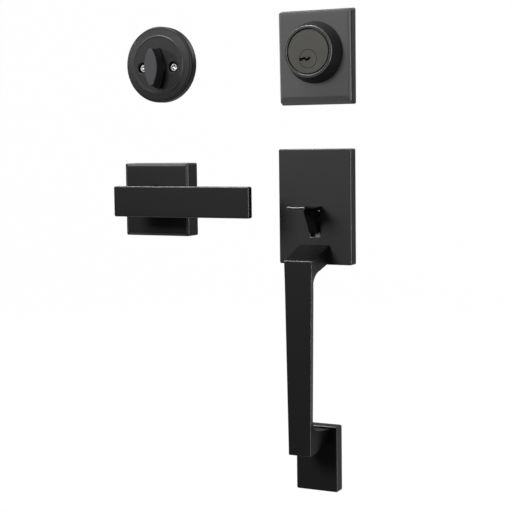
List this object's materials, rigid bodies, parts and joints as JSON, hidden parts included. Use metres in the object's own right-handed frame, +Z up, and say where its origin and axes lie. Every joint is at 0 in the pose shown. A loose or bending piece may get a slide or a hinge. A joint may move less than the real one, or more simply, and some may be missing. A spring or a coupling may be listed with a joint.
{
  "type": "entrance door lock set",
  "caption": "Matt black entrance lock set: outside deadbolt and thumb-latch pull handle, inside thumb-turn and lever, laid out side by side on one door plane.",
  "frame": {"origin": "on the latch spindle axis, in the plane where the back rims of all trims meet the door", "axes": "+Z up along the pull handle, +X to the right across the door, +Y into the door, so the trims stand out towards -Y"},
  "size_m": [0.2115, 0.095, 0.3975],
  "materials": {
    "black_coat": "satin black powder coat on cast zinc",
    "black_cylinder": "smooth dark satin plating on brass",
    "brass": "turned brass",
    "zinc_steel": "zinc plated steel",
    "spring_steel": "oiled spring steel",
    "bright_screw": "bright nickel plate",
    "dark_screw": "black oxide",
    "nylon": "natural nylon"
  },
  "bodies": {
    "trims": {"deadbolt_plate": "black_coat", "deadbolt_collar": "black_coat", "cylinder_housing": "black_cylinder", "driver_pins": "brass", "pin_springs": "spring_steel", "chamber_strip": "brass", "thumbturn_rose": "black_coat", "thumbturn_bush": "nylon", "thumbturn_plate": "zinc_steel", "thumbturn_screws": "bright_screw", "lever_rose": "black_coat", "lever_cage": "zinc_steel", "lever_spring": "spring_steel", "lever_plate": "zinc_steel", "lever_bolts": "zinc_steel", "escutcheon": "black_coat", "handleset_plate": "zinc_steel", "thumb_pin": "zinc_steel", "thumb_spring": "spring_steel", "cam_spring": "spring_steel", "grip_handle": "black_coat", "grip_screws": "dark_screw", "foot_plate": "black_coat"},
    "plug": {"cylinder_plug": "black_cylinder", "key_pins": "brass", "plug_clip": "spring_steel", "deadbolt_tailpiece": "zinc_steel"},
    "thumbturn": {"thumbturn_knob": "black_coat", "thumbturn_clip": "spring_steel", "thumbturn_spindle": "zinc_steel"},
    "lever": {"lever_handle": "black_coat", "lever_spindle": "zinc_steel", "lever_hub": "zinc_steel", "lever_circlip": "spring_steel", "lever_set_screw": "dark_screw"},
    "thumb_lever": {"thumbpiece": "black_coat"},
    "cam": {"spindle_cam": "zinc_steel", "latch_spindle": "zinc_steel"}
  },
  "joints": [
    {"name": "key_turn", "type": "hinge", "parent": "trims", "child": "plug", "pos_m": [0, 0, 0.1147], "axis": [0, 1, 0], "range_deg": [-90, 90]},
    {"name": "thumb_turn", "type": "hinge", "parent": "trims", "child": "thumbturn", "pos_m": [-0.146, 0, 0.1132], "axis": [0, 1, 0], "range_deg": [0, 90]},
    {"name": "lever_turn", "type": "hinge", "parent": "trims", "child": "lever", "pos_m": [-0.146, 0, 0], "axis": [0, 1, 0], "range_deg": [0, 50], "stiffness_Nm_per_rad": 0.8, "springref_deg": -20.05},
    {"name": "thumb_press", "type": "hinge", "parent": "trims", "child": "thumb_lever", "pos_m": [0, -0.0037, -0.012], "axis": [1, 0, 0], "range_deg": [0, 20], "stiffness_Nm_per_rad": 0.25, "springref_deg": -17.19},
    {"name": "cam_turn", "type": "hinge", "parent": "trims", "child": "cam", "pos_m": [0, 0, 0], "axis": [0, -1, 0], "range_deg": [0, 39]}
  ],
  "couplings": [
    {"joint": "cam_turn", "follows": "thumb_press", "ratio": 1.95}
  ]
}
